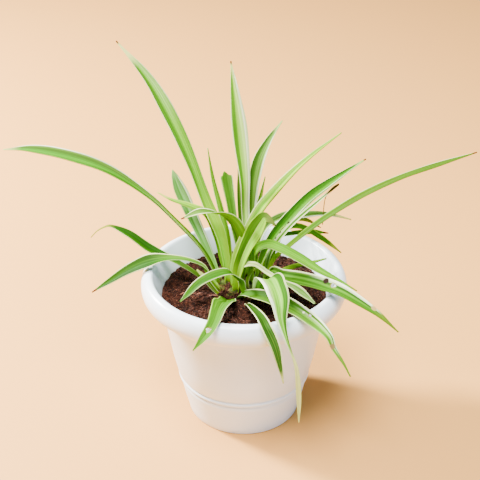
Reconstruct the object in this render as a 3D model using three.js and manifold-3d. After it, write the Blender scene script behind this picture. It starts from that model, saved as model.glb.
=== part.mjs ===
// A potted spider plant: a white flared plastic planter filled with potting soil, and a clump of
// striped, arching leaves that rise from one short rootstock.
// Millimetres, +Z up. The origin is the centre of the planter's underside.
import * as THREE from "three";
import { mergeVertices } from "three/addons/utils/BufferGeometryUtils.js";
import Module from "manifold-3d";

const wasm = await Module();
wasm.setup();

// Planter
const FOOT_RADIUS = 45.3;
const BEAD_HEIGHT = 35.8;
const BEAD_RADIUS = 54.9;
const GROOVE_RADIUS = 53.2;
const WALL_TOP = [72.6, 119.5];
const WALL = 2.3;
const FLOOR = 4.4;
const RECESS = { inner: 22, outer: 36, height: 1.8 };
const DRAIN = { count: 6, radius: 2.4, ring: 29 };
const LIP = { radius: 75.2, height: 119.5, across: 7.3, up: 10, thick: 2.2, start: -64, steps: 8 };
const POT_SIDES = 40;

// Soil
const FIT = 0.3;
const SOIL_EDGE = 109;
const SOIL_RINGS = 9;
const SOIL_SIDES = 36;
const LEVEL_BAND = [56, 66];
const MOUNDS = [
  { at: [0, 9], rise: 1.8, spread: 24 },
  { at: [-42, 38], rise: 5, spread: 13 },
  { at: [40, -30], rise: 1.6, spread: 18 },
];

// Rootstock: short stout shoots that grew together, each [x, y, radius, top]
const SHOOTS = [
  [-17, 13, 8, 111.5],
  [-19, 4, 6.5, 111],
  [-7, 18, 8.5, 112.5],
  [3, 26, 8, 112],
  [13, 21, 8, 112],
  [16, 9, 7.5, 112],
  [3, 9, 9.5, 112.5],
  [-7, 2, 8, 112],
  [6, -5, 7, 111.5],
  [-11, -5, 5.5, 111],
  [4, -16, 6, 110.5],
];
const SHOOT_DEPTH = 30;
const SHOOT_SIDES = 10;

// Leaves
const LEAF_START = 106;
const LEAF_STEPS = 16;
const BLADE = 0.75;
const BASE_FOLD = 58;
const BLADE_FOLD = 17;
const OPEN_BY = 0.35;

// Each leaf stands in the upright plane through its root that points along its heading, 0 being +X
// and 90 being +Y. Its path gives [reach, height above LEAF_START], with a third number where it
// also strays sideways. Widths and rolls are given at even steps from base to tip. Roll turns the
// blade about its own length, in degrees. Fold is how far its sides close at the base.
const LEAVES = [
  { name: "leaf_front_short", root: [-13, -3], heading: 252, roll: [0, 0], fold: 20,
    widths: [12, 14, 15, 16, 13, 10.5, 8, 1],
    path: [[31, 18, 9], [38, 22, 9], [58, 28, 12], [70, 26, 13], [78, 23, 12], [86, 19, 9], [92, 12, 4]] },
  { name: "leaf_front_dark", root: [4, -19], heading: 288, roll: [0, 0], fold: 30,
    widths: [3.5, 4.5, 6.5, 7.5, 8.5, 9, 8, 4.5, 1],
    path: [[3, 7, -3], [24, 17, -5], [50, 25, -7], [64, 26, -8], [72, 14, -4], [76, -3, -1], [78, -17, 1]] },
  { name: "leaf_front_broad", root: [7, -9], heading: 292, roll: [0, 0], fold: 25,
    widths: [8, 12, 19, 21, 18, 17, 10.5, 4.5, 2, 3.5, 4.5, 3.5, 1],
    path: [[5, 14, 3], [11, 25, 4], [20, 34, 4], [34, 39, 2], [60, 39, -4], [73, 31, -8], [83, 20, -8],
      [87, 11, -6], [90, -1, -3], [92, -27, -1], [92, -53, 0]] },
  { name: "leaf_front_right", root: [-6, -7], heading: 310, roll: [20, 10], fold: 40,
    widths: [5, 9, 12, 13, 14, 12.5, 11, 6.5, 3, 1],
    path: [[8, 10], [28, 19], [51, 25], [74, 27], [95, 25], [106, 21], [110, 15], [122, 6], [129, -1]] },
  { name: "leaf_front_arch", root: [3, -8], heading: 198, roll: [45, 35, 10, -15, -25, -30],
    widths: [8, 8, 9, 11, 10, 8, 6, 1],
    path: [[5, 14], [6, 20], [10, 25], [15, 30], [23, 31], [39, 26], [56, 11]] },
  { name: "leaf_broad_folded", root: [-6, -1], heading: 14, roll: [45, 35],
    widths: [9, 9, 10, 11, 13, 15, 9.5, 2],
    path: [[1, 24], [7, 43], [15, 59], [19, 66], [22, 70], [26, 68], [32, 61]] },
  { name: "leaf_young_front", root: [4, 4], heading: 35, roll: [0, 0],
    widths: [3.5, 4, 1.5], path: [[-1, 14], [2, 18], [5, 22]] },
  { name: "leaf_young_middle", root: [9, 9], heading: 120, roll: [0, 0],
    widths: [4, 4.5, 1.5], path: [[-1, 12], [-3, 20], [-3, 28]] },
  { name: "leaf_thin_right", root: [19, 5], heading: 348, roll: [30, 30],
    widths: [3.5, 4, 4.5, 3.5, 1.5], path: [[4, 18], [10, 21], [18, 26], [33, 32], [47, 38]] },
  { name: "leaf_damaged_right", root: [16, 3], heading: 322, roll: [25, 15], fold: 35,
    widths: [6, 9, 12.5, 13.5, 13.5, 12, 9, 5, 1],
    path: [[7, 24], [16, 24], [35, 28], [54, 31], [72, 32], [90, 29], [108, 24], [125, 16]] },
  { name: "leaf_thin_arch", root: [-2, 4], heading: 324, roll: [40, 30],
    widths: [7, 7, 6, 4, 4, 4, 6.5, 1.5],
    path: [[-1, 21], [1, 26], [13, 32], [25, 29], [38, 26], [51, 25], [64, 20], [70, 17]] },
  { name: "leaf_lime_arch", root: [6, 13], heading: 334, roll: [60, 50, 35, 35],
    widths: [7, 9, 9, 8, 8, 8, 6, 3, 1],
    path: [[1, 24], [2, 33], [8, 41], [16, 45], [25, 44], [42, 39], [60, 32], [77, 27], [91, 22]] },
  { name: "leaf_long_right", root: [18, 9], heading: 8, roll: [35, 30],
    widths: [6, 5, 5, 5.5, 6, 5, 4.5, 1],
    path: [[6, 28], [19, 41], [43, 61], [74, 81], [105, 95], [137, 105], [166, 113]] },
  { name: "leaf_upper_right", root: [-8, 6.5], heading: 22, roll: [35, 25],
    widths: [8, 9, 8.5, 9, 8.5, 6, 3.5, 1],
    path: [[2, 31], [11, 53], [22, 72], [31, 82], [48, 98], [64, 110], [91, 126]] },
  { name: "leaf_hanging_tip", root: [16, 13], heading: 20, roll: [35, 30],
    widths: [4.5, 4.5, 4.5, 4, 4, 3.5, 2, 1.5, 1.5, 1.2],
    path: [[6, 32], [22, 53], [51, 75], [64, 84], [59, 82], [54, 77], [52, 71], [51, 49]] },
  { name: "leaf_arch_left", root: [-2, 12], heading: 190, roll: [50, 50, 60, 60, 5, -25],
    widths: [5.5, 6.5, 9.5, 11.5, 11.5, 10, 8, 1],
    path: [[-1, 40], [1, 52], [5, 61], [10, 67], [17, 71], [33, 74], [48, 69]] },
  { name: "leaf_broad_right", root: [9, 18], heading: 32, roll: [25, 25],
    widths: [6, 7, 10, 11, 10, 8.5, 4.5, 1],
    path: [[7, 22], [17, 38], [34, 53], [53, 66], [73, 74], [93, 81], [109, 86]] },
  { name: "leaf_tall_left", root: [-14, 14], heading: 145, roll: [-25, -35],
    widths: [9, 10, 10, 9, 11, 11.5, 7, 1],
    path: [[1, 23], [6, 47], [20, 74], [34, 105], [51, 135], [73, 164], [105, 189]] },
  { name: "leaf_far_left", root: [-20, 11], heading: 168, roll: [-30, -30],
    widths: [6, 5.5, 4.5, 4.2, 6.5, 9.5, 10.5, 8, 1],
    path: [[6, 20], [16, 38], [40, 64], [56, 79], [88, 99], [120, 108], [153, 111], [176, 108]] },
  { name: "leaf_broad_left", root: [-18, 3], heading: 178, roll: [10, 10, 5, -25, -35, -35],
    widths: [9, 9, 8.5, 8, 10, 14, 11.5, 8.5, 5, 1],
    path: [[9, 14], [14, 25], [25, 31], [41, 33], [57, 30], [74, 22], [91, 10], [106, -1]] },
  { name: "leaf_narrow_upright", root: [-9, 18], heading: 122, roll: [0, 0],
    widths: [6.5, 6, 6, 5.5, 3.5, 1], path: [[5, 18], [9, 42], [19, 62], [30, 83], [38, 108]] },
  { name: "leaf_tall_centre", root: [2, 23], heading: 110, roll: [0, 0],
    widths: [7, 7, 7, 7.5, 11, 13.5, 8.5, 1],
    path: [[-2, 40], [3, 65], [4, 91], [14, 122], [25, 151], [36, 179]] },
  { name: "leaf_dark_left", root: [-22, 7], heading: 162, roll: [-20, -25],
    widths: [5.5, 5.5, 4.5, 5, 7, 8.5, 8, 7, 3, 1.5, 1.2],
    path: [[13, 10], [33, 21], [58, 30], [75, 40], [92, 45], [97, 43], [104, 38], [110, 31]] },
  { name: "leaf_dark_right", root: [6, 26], heading: 55, roll: [20, 20],
    widths: [5, 5, 5, 6, 9, 10, 5.5, 1],
    path: [[1, 51], [2, 73], [4, 90], [10, 105], [23, 117], [43, 127]] },
  { name: "leaf_back_left", root: [-18, 16], heading: 128, roll: [-15, -20],
    widths: [5.5, 6, 7.5, 9.5, 11, 11, 3.5],
    path: [[11, 15], [19, 25], [31, 38], [50, 58], [62, 72], [67, 80]] },
  { name: "leaf_cut_off", root: [-7, 22], heading: 122, roll: [0, 0],
    widths: [6, 6, 7, 9, 12], path: [[-7, 28], [1, 50], [8, 73], [15.5, 95]] },
  { name: "leaf_dark_centre", root: [-2, 28], heading: 112, roll: [-30, -30],
    widths: [5, 5, 5.5, 4.5, 1], path: [[-4, 43], [1, 59], [5, 79], [7, 98]] },
  { name: "leaf_pale_back_right", root: [3, 29], heading: 28, roll: [30, 25],
    widths: [4.5, 4.5, 5, 7.5, 8, 6, 4, 1.5],
    path: [[14, 39], [19, 45], [34, 49], [54, 45], [69, 42], [85, 36], [101, 28]] },
  { name: "leaf_small_upright", root: [10, 28], heading: 75, roll: [10, 10],
    widths: [3.5, 3.5, 3.5, 4, 1], path: [[2, 53], [5, 63], [18, 73], [28, 80]] },
  { name: "leaf_rim_right_upper", root: [11, 25], heading: 30, roll: [15, 40],
    widths: [3.5, 3.5, 4, 4.5, 5, 1], path: [[22, 35], [29, 35], [54, 30], [70, 24]] },
  { name: "leaf_rim_right_lower", root: [15, 20], heading: 30, roll: [40, 60],
    widths: [4, 4, 4.5, 5, 5.5, 4.5, 1],
    path: [[20, 44], [26, 46], [34, 44], [41, 40], [62, 22], [79, 5]] },
  { name: "leaf_rim_right_short", root: [7, 30], heading: 40, roll: [20, 50],
    widths: [3, 3.5, 4, 4.5, 1], path: [[33, 34], [48, 37], [62, 31], [73, 22], [78, 18]] },
  { name: "leaf_thin_left", root: [-13, 19], heading: 150, roll: [-20, -25],
    widths: [4.5, 4.5, 5.5, 7, 6, 3.5, 1],
    path: [[6, 20], [11, 42], [20, 60], [36, 63], [55, 64], [67, 67]] },
  { name: "leaf_short_left", root: [-17, -4], heading: 170, roll: [-15, -15],
    widths: [4, 4.5, 5.5, 5.5, 1.5], path: [[6, 6], [10, 11], [14, 17], [21, 25]] },
];

const rad = THREE.MathUtils.degToRad;

// Solids from geometry, and back
function toSolid(geometry) {
  const bare = geometry.clone();
  bare.deleteAttribute("normal");
  bare.deleteAttribute("uv");
  const merged = mergeVertices(bare, 1e-4);
  return new wasm.Manifold(new wasm.Mesh({
    numProp: 3,
    vertProperties: new Float32Array(merged.attributes.position.array),
    triVerts: new Uint32Array(merged.index.array),
  }));
}

function toGeometry(solid) {
  const mesh = solid.getMesh();
  const geometry = new THREE.BufferGeometry();
  geometry.setAttribute("position", new THREE.BufferAttribute(mesh.vertProperties, 3));
  geometry.setIndex(new THREE.BufferAttribute(mesh.triVerts, 1));
  geometry.computeVertexNormals();
  return geometry;
}

function largestBody(solid) {
  return solid.decompose().reduce((a, b) => (b.volume() > a.volume() ? b : a));
}

function piece(name, geometry, color, roughness) {
  const material = new THREE.MeshStandardMaterial({ color, roughness, metalness: 0 });
  const mesh = new THREE.Mesh(geometry, material);
  mesh.name = name;
  return mesh;
}

function latheSolid(outline, sides) {
  const geometry = new THREE.LatheGeometry(outline.map(([r, z]) => new THREE.Vector2(r, z)), sides);
  geometry.rotateX(Math.PI / 2);
  return toSolid(geometry);
}

// Planter
function lipArc(across, up, from, to) {
  const points = [];
  for (let i = 0; i <= LIP.steps; i += 1) {
    const angle = rad(from + (to - from) * i / LIP.steps);
    points.push([LIP.radius + across * Math.cos(angle), LIP.height + up * Math.sin(angle)]);
  }
  return points;
}

const OUTER_WALL = [
  [FOOT_RADIUS, 0],
  [FOOT_RADIUS + 1.2, 1.2],
  [49.9, 16],
  [GROOVE_RADIUS, BEAD_HEIGHT - 2.6],
  [BEAD_RADIUS, BEAD_HEIGHT - 1],
  [BEAD_RADIUS, BEAD_HEIGHT + 1],
  [GROOVE_RADIUS + 0.4, BEAD_HEIGHT + 2.4],
  [BEAD_RADIUS + 0.3, BEAD_HEIGHT + 3.4],
  [60.2, 64],
  [66.5, 100],
  WALL_TOP,
];
const INNER_WALL = [
  [72.9, 127.6],
  [WALL_TOP[0] - WALL, WALL_TOP[1]],
  [66.6, 109],
  [59.7, 74],
  [51.8, 34],
  [46.2, FLOOR + 4],
  [43.8, FLOOR],
];

function potSolid() {
  const lipInside = lipArc(LIP.across - LIP.thick, LIP.up - LIP.thick, 116, LIP.start);
  const lipOutside = lipArc(LIP.across, LIP.up, LIP.start, 90);
  const outline = [
    [0, 0],
    [RECESS.inner, 0],
    [RECESS.inner + 1, RECESS.height],
    [RECESS.outer - 1, RECESS.height],
    [RECESS.outer, 0],
    ...OUTER_WALL,
    ...lipInside,
    ...lipOutside,
    [73.5, 129],
    ...INNER_WALL,
    [0, FLOOR],
  ];
  let pot = latheSolid(outline, POT_SIDES);
  for (let i = 0; i < DRAIN.count; i += 1) {
    const angle = rad(360 * (i + 0.5) / DRAIN.count);
    const hole = new THREE.CylinderGeometry(DRAIN.radius, DRAIN.radius, 4 * FLOOR, 10);
    hole.rotateX(Math.PI / 2);
    hole.translate(DRAIN.ring * Math.cos(angle), DRAIN.ring * Math.sin(angle), 0);
    pot = pot.subtract(toSolid(hole));
  }
  return pot;
}

// Rootstock
function shootSolid([x, y, radius, top], grow) {
  const reach = radius + grow;
  const outline = [
    [0, top - SHOOT_DEPTH - grow],
    [0.45 * reach, top - SHOOT_DEPTH + 3 - grow],
    [reach, top - 0.35 * SHOOT_DEPTH],
    [0.9 * reach, top - 3 + grow],
    [0.5 * reach, top - 0.6 + grow],
    [0, top + grow],
  ];
  const geometry = new THREE.LatheGeometry(outline.map(([r, z]) => new THREE.Vector2(r, z)), SHOOT_SIDES);
  geometry.rotateX(Math.PI / 2);
  geometry.translate(x, y, 0);
  return toSolid(geometry);
}

function rootstockSolid(grow) {
  return SHOOTS.map((shoot) => shootSolid(shoot, grow)).reduce((a, b) => a.add(b));
}

// Soil: a crumbly top with low mounds that levels out near the wall, and a side that follows the
// planter's inner wall
function soilHeight(x, y) {
  const radius = Math.hypot(x, y);
  const crumbs = 0.5 * Math.sin(0.61 * x + 1.1) * Math.sin(0.53 * y + 0.4)
    + 0.45 * Math.sin(0.29 * x - 0.37 * y) + 0.3 * Math.sin(1.13 * y + 0.7 * x);
  const edge = THREE.MathUtils.smoothstep(radius, ...LEVEL_BAND);
  const mounds = MOUNDS.reduce((sum, { at, rise, spread }) => {
    const away = Math.hypot(x - at[0], y - at[1]) / spread;
    return sum + rise * Math.exp(-away * away);
  }, 0);
  return SOIL_EDGE + (1 - edge) * (crumbs + mounds);
}

function innerRadius(z) {
  const above = INNER_WALL.findIndex(([, height]) => height <= z);
  const [r1, z1] = INNER_WALL[above];
  const [r0, z0] = INNER_WALL[above - 1];
  return r1 + (r0 - r1) * (z - z1) / (z0 - z1);
}

function soilSolid(grow) {
  const positions = [];
  const faces = [];
  const levels = [SOIL_EDGE, ...INNER_WALL.map(([, z]) => z).filter((z) => z < SOIL_EDGE - 1)];
  const ring = (radius, height) => {
    for (let i = 0; i < SOIL_SIDES; i += 1) {
      const angle = 2 * Math.PI * i / SOIL_SIDES;
      const x = radius * Math.cos(angle);
      const y = radius * Math.sin(angle);
      positions.push(x, y, height === null ? soilHeight(x, y) + grow : height);
    }
  };
  positions.push(0, 0, soilHeight(0, 0) + grow);
  const rim = innerRadius(SOIL_EDGE) - FIT;
  for (let k = 1; k < SOIL_RINGS; k += 1) {
    ring(rim * k / SOIL_RINGS, null);
  }
  levels.forEach((z) => ring(innerRadius(z) - FIT, Math.max(z, FLOOR + FIT)));
  positions.push(0, 0, FLOOR + FIT);
  const ringCount = SOIL_RINGS - 1 + levels.length;
  const last = positions.length / 3 - 1;
  for (let i = 0; i < SOIL_SIDES; i += 1) {
    const next = (i + 1) % SOIL_SIDES;
    faces.push(0, 1 + i, 1 + next);
    for (let k = 0; k < ringCount - 1; k += 1) {
      const a = 1 + k * SOIL_SIDES;
      const b = a + SOIL_SIDES;
      faces.push(a + i, b + i, b + next);
      faces.push(a + i, b + next, a + next);
    }
    const a = 1 + (ringCount - 1) * SOIL_SIDES;
    faces.push(a + i, last, a + next);
  }
  const geometry = new THREE.BufferGeometry();
  geometry.setAttribute("position", new THREE.Float32BufferAttribute(positions, 3));
  geometry.setIndex(faces);
  return toSolid(geometry);
}

// Leaves: a folded blade swept along a curve, with both faces split alike
function leafCurve({ root, heading, path }) {
  const along = new THREE.Vector3(Math.cos(rad(heading)), Math.sin(rad(heading)), 0);
  const aside = new THREE.Vector3(-along.y, along.x, 0);
  const start = new THREE.Vector3(root[0], root[1], LEAF_START);
  const points = [[0, 0], ...path].map(([reach, height, stray = 0]) => start.clone()
    .addScaledVector(along, reach)
    .addScaledVector(aside, stray)
    .setZ(LEAF_START + height));
  return { curve: new THREE.CatmullRomCurve3(points, false, "centripetal"), aside };
}

// The value at share s of the leaf's length, on a smooth line through values at even steps
function valueAt(values, s) {
  const last = values.length - 1;
  const step = Math.min(Math.floor(s * last), last - 1);
  const t = s * last - step;
  const from = values[step];
  const to = values[step + 1];
  const before = values[Math.max(step - 1, 0)];
  const after = values[Math.min(step + 2, last)];
  const bend = 2 * before - 5 * from + 4 * to - after + t * (3 * (from - to) + after - before);
  return from + 0.5 * t * (to - before + t * bend);
}

function leafSolid(leaf, grow) {
  const { curve, aside } = leafCurve(leaf);
  const positions = [];
  const faces = [];
  const half = BLADE / 2 + grow;
  for (let j = 0; j <= LEAF_STEPS; j += 1) {
    const s = j / LEAF_STEPS;
    const centre = curve.getPointAt(s);
    const ahead = curve.getTangentAt(s);
    const side = aside.clone().addScaledVector(ahead, -aside.dot(ahead)).normalize();
    const up = new THREE.Vector3().crossVectors(ahead, side);
    const roll = rad(valueAt(leaf.roll, s));
    const across = side.clone().multiplyScalar(Math.cos(roll)).addScaledVector(up, Math.sin(roll));
    const normal = up.clone().multiplyScalar(Math.cos(roll)).addScaledVector(side, -Math.sin(roll));
    const open = THREE.MathUtils.smoothstep(s, 0, OPEN_BY);
    const fold = rad(THREE.MathUtils.lerp(leaf.fold ?? BASE_FOLD, BLADE_FOLD, open));
    const reach = valueAt(leaf.widths, s) / 2 + grow;
    [1, -1].forEach((face) => {
      [-1, 0, 1].forEach((u) => {
        const lift = u === 0 ? face * half / Math.cos(fold) : face * half * Math.cos(fold);
        const shift = -u * face * half * Math.sin(fold);
        const point = centre.clone()
          .addScaledVector(across, u * reach * Math.cos(fold) + shift)
          .addScaledVector(normal, (Math.abs(u) - 0.5) * reach * Math.sin(fold) + lift);
        positions.push(point.x, point.y, point.z);
      });
    });
  }
  for (let j = 0; j < LEAF_STEPS; j += 1) {
    const a = 6 * j;
    const b = a + 6;
    for (let c = 0; c < 2; c += 1) {
      faces.push(a + c, b + c, b + c + 1, a + c, b + c + 1, a + c + 1);
      faces.push(a + 3 + c, b + 4 + c, b + 3 + c, a + 3 + c, a + 4 + c, b + 4 + c);
    }
    faces.push(a, a + 3, b + 3, a, b + 3, b);
    faces.push(a + 2, b + 2, b + 5, a + 2, b + 5, a + 5);
  }
  const end = 6 * LEAF_STEPS;
  faces.push(0, 1, 4, 0, 4, 3, 1, 2, 5, 1, 5, 4);
  faces.push(end, end + 4, end + 1, end, end + 3, end + 4);
  faces.push(end + 1, end + 5, end + 2, end + 1, end + 4, end + 5);
  const geometry = new THREE.BufferGeometry();
  geometry.setAttribute("position", new THREE.Float32BufferAttribute(positions, 3));
  geometry.setIndex(faces);
  return toSolid(geometry);
}

// The object
const plant = new THREE.Group();
plant.add(piece("pot", toGeometry(potSolid()), 0xf2f1ee, 0.35));
plant.add(piece("soil", toGeometry(soilSolid(0).subtract(rootstockSolid(FIT))), 0x3b2018, 0.95));
plant.add(piece("rootstock", toGeometry(rootstockSolid(0)), 0xc9c78a, 0.7));

// Each leaf gives way to the rootstock, the soil and the leaves before it
let taken = rootstockSolid(FIT).add(soilSolid(FIT));
LEAVES.forEach((leaf) => {
  const blade = largestBody(leafSolid(leaf, 0).subtract(taken));
  plant.add(piece(leaf.name, toGeometry(blade), 0x7db343, 0.5));
  taken = taken.add(leafSolid(leaf, FIT));
});

export default plant;
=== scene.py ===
"""A potted spider plant: glossy white planter, crumbly soil and a clump of striped, arching leaves.

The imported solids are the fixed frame. Planter, soil and every leaf are rebuilt here with finer meshes
that keep the solids' places and sizes, and the rootstock keeps its solid. Shapes are in millimetres
and degrees. The camera, lights and noise in the materials are in metres.
"""

import math

import bmesh
import bpy
import numpy as np
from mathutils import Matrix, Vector, noise


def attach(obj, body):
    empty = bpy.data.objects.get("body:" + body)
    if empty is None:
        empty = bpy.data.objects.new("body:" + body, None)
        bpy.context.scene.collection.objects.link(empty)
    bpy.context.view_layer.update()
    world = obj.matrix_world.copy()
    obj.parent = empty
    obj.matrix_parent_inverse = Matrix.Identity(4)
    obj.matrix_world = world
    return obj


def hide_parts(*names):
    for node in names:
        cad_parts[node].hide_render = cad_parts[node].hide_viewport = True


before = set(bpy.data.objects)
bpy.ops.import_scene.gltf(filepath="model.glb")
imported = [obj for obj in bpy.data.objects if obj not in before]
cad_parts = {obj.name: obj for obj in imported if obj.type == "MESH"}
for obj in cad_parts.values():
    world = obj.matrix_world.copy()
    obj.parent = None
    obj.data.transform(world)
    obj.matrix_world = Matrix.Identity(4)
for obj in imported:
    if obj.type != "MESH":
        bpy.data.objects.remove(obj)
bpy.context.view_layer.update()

MM = 0.001

# Camera: as far, as high and as long a lens as fits the rim, bead and foot in the photo
LENS_MM = 80
SENSOR_MM = 36
PITCH_DEG = 30.2
DISTANCE = 0.838
AIM = Vector((-0.0032, 0.0, 0.1582))

# Lights: name, place, what it aims at, size, power in watts and colour
LIGHTS = (
    ("key", (-1.25, 0.6, 0.95), (0, 0, 0.1), 0.3, 180, (1.0, 0.97, 0.93)),
    ("top", (-0.25, -0.45, 1.6), (0, 0, 0.12), 0.9, 105, (1.0, 0.99, 0.97)),
    ("front", (0.8, -1.3, 0.4), (0, 0, 0.08), 0.8, 14, (0.35, 0.65, 1.0)),
)
SKY = {"Color": (0.88, 0.95, 1.0, 1.0), "Strength": 0.42}
GROUND = {"reach": 4.0, "colour": "#ce9348", "roughness": 0.7}

# Planter
FOOT_RADIUS = 45.3
BEAD_HEIGHT = 35.8
BEAD_RADIUS = 54.9
GROOVE_RADIUS = 53.2
FLOOR = 4.4
RECESS = {"inner": 22, "outer": 36, "height": 1.8, "slope": 1}
LIP = {"radius": 75.2, "height": 119.5, "across": 7.3, "up": 10, "thick": 2.2,
       "start": -64, "crest": 90, "inner_end": 116, "steps": 26, "inner_steps": 20}
POT_SIDES = 160
# Parts of its outline, as (radius, height)
FOOT_FLAT = 0.6
FOOT_EDGE = ((0, 0.5), (0.25, 0.15), (0.7, 0.35), (1.1, 1.0))
LOWER_WALL = ((47.4, 6), (49.9, 16))
UPPER_WALL = ((58.8, 56), (60.2, 64), (62, 74), (66.5, 100), (72.6, 119.5))
LIP_EDGE = ((74.2, 129.2), (73.4, 128.6))
INNER_WALL = ((72.9, 127.6), (70.3, 119.5), (66.6, 109), (59.7, 74), (51.8, 34), (46.2, 8.4), (43.8, 4.4))
# Groove, bead and groove, with the height above or below the middle of the bead
BEAD_BAND = (
    (GROOVE_RADIUS - 0.9, -8), (GROOVE_RADIUS + 0.2, -3.4), (GROOVE_RADIUS - 0.3, -2.9),
    (GROOVE_RADIUS - 0.3, -2.4), (GROOVE_RADIUS + 0.6, -1.8), (BEAD_RADIUS - 0.3, -1.1),
    (BEAD_RADIUS, 0), (BEAD_RADIUS - 0.25, 1.1), (GROOVE_RADIUS + 0.7, 1.8),
    (GROOVE_RADIUS + 0.3, 2.3), (GROOVE_RADIUS + 0.5, 2.8), (BEAD_RADIUS, 3.3), (BEAD_RADIUS + 0.4, 4.2),
)

# Soil. A mound is a place, a rise and a spread
FIT = 0.3
SOIL_EDGE = 109
SOIL_RADIUS = 66.6
LEVEL_BAND = (56, 66)
# Heights in metres between which the rootstock's skin turns from brown to green
SOIL_LINE = (0.1098, 0.1112)
MOUNDS = (((0, 9), 1.8, 24), ((-42, 38), 5, 13), ((40, -30), 1.6, 18))
SOIL_SECTORS = 420
SOIL_RINGS = 130
RING_SPREAD = 0.8
# Relief of the surface: how close together, which slice of the noise, its roughness and step, and height
CLODS = {"scale": 0.16, "slice": 3.1, "rough": 0.9, "step": 2.1, "height": 0.9}
GRIT = {"scale": 0.55, "slice": 7.7, "rough": 0.8, "step": 2.0, "height": 1.05}
OCTAVES = 3

CRUMBS = {"count": 2600, "reach": 64.5, "least": 0.35, "most": 1.5, "small_share": 3,
          "squash": (0.6, 1.3), "uneven": 0.12, "raised": 0.25, "seed": 11}
FIBRES = {"count": 120, "reach": 61, "stray": 3, "shortest": 5, "longest": 15, "thick": 0.3,
          "vary": (0.6, 1.4), "bend": 50, "steps": 9, "raised": 0.5, "seed": 5}
FIBRE_ENDS = (0.12, 0.8)
# A direction that no fibre lies in
NEARLY_UP = (0.1, 0.2, 1.0)
# Husk strips: place, direction, length and thickness
HUSKS = (((-47, -2), 170, 6, 1.3), ((-28, -6), -8, 9, 1.6), ((-38, -4), 20, 7, 0.9))

# Leaves. A fold is how far the sides close, and it opens out by a share of the length
LEAF_START = 106
BASE_FOLD = 58
BLADE_FOLD = 17
OPEN_BY = 0.35
CREASE = 0.04
BLADE_MIDDLE = 0.6
BLADE_EDGE = 0.3
CURVE_STEPS = 40
ROW_STEP = 1.5
LEAST_ROWS = 12
COLUMNS = 14
WAVE_LENGTH = 34
WAVE_SLANT = 1.3
WAVE = 0.03
# Waves round a hole's edge: how many, where they start and how high, and the least pull to its middle
HOLE_WAVES = ((3, 0.6, 0.2), (5, 2.1, 0.12))
HOLE_LEAST = 0.3

# How strongly each thing tells in a blade's colour, from 0 to 1
WOBBLE = 0.1
PALE_UNDER = 0.3
VEINS = 0.35
LINES = 0.55
FRESH = 0.85
ROOT_SHADE = 0.75
HOLE_SHADE = 0.7
SEE_THROUGH = 0.36
GLOWING = 0.7
# How far up the bottom of a leaf is stained, and from which share of it stain and fresh base fade
ROOT_MM = 9
STAIN_FROM = 0.4
FRESH_FROM = 0.3
# Shares of the length over which bands, tip and brown end come in; how much wider a hole's rim is
SHARE_BLEND = 0.1
TIP_BEFORE = 0.03
TIP_AFTER = 0.04
BROWN_AFTER = 0.015
RIM_WIDER = 1.35
# How ragged spots are and where their edges fade out, as shares of their size
SPOT_RAGGED = 0.8
SPOT_EDGE = (0.75, 1.1)
# Repeats of noise across and along a blade, and the space between the leaves' slices of it
BROAD_STREAKS = {"across": 6.0, "along": 3.0, "slice": 7.3}
FINE_STREAKS = {"across": 24.0, "along": 3.0, "slice": 3.1}
# Values of it between which veins and lines come in
VEIN_EDGE = (0.5, 0.62)
LINE_EDGE = (0.46, 0.56)


def rgb(code):
    """Linear colour, with alpha, of a #rrggbb code."""
    parts = [int(code[i:i + 2], 16) / 255 for i in (1, 3, 5)]
    return tuple(p / 12.92 if p <= 0.04045 else ((p + 0.055) / 1.055) ** 2.4 for p in parts) + (1.0,)


# Leaf colours are given as bright light shows them. These powers turn them into the deeper blade
LEAF_DEPTH = (1.56, 1.62, 2.1, 1.0)


def deep(code):
    """The colour of the blade itself for a leaf colour."""
    return tuple(value ** power for value, power in zip(rgb(code), LEAF_DEPTH))


# Colours of the blades' stripes
WHITE = "#fcfff0"
CREAM = "#f5f8da"
LIME = "#b9da26"
BRIGHT = "#8cbc38"
GRASS = "#6b9f33"
DARK = "#4b7a26"
OLIVE = "#6f8a28"
# Colours for any blade
UNDERSIDE = "#b3ca8e"
VEIN = "#b8cf8a"
LINE = "#bcd49a"
STAIN = "#8a7a2c"
BROWN = "#7a5428"
HOLE_RIM = "#cbbd8e"
GLOW = "#e4f58c"
USUAL_BASE = (0.3, LIME)

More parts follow.
